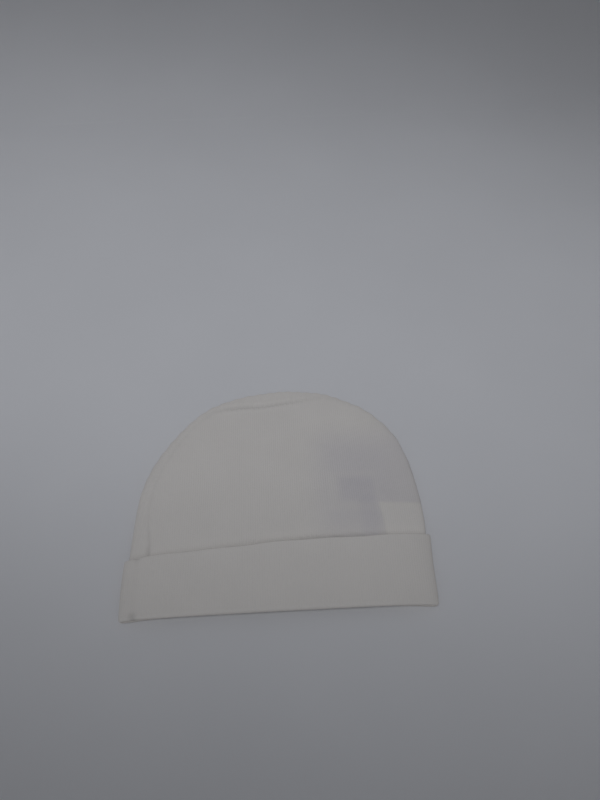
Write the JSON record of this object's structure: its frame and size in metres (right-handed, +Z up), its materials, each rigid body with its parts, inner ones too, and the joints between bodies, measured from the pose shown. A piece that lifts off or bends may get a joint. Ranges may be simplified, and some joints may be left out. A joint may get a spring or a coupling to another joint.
{
  "type": "infant nightcap",
  "caption": "Infant's soft cotton nightcap with a domed two-panel crown and a turned-up cuff, lying flat on its back.",
  "frame": {"origin": "on the surface that the cap lies on, under the middle of its length and width", "axes": "+X across the cap to the right as its front is seen, +Y from the mouth to the top of the crown, +Z up"},
  "size_m": [0.171, 0.1432, 0.0128],
  "materials": {
    "jersey": "soft matt cotton jersey, undyed cream",
    "label_tape": "plain white satin tape, unprinted"
  },
  "bodies": {
    "root": {"crown_front": "jersey", "crown_back": "jersey", "cuff_front": "jersey", "cuff_back": "jersey", "care_label": "label_tape"}
  },
  "joints": []
}
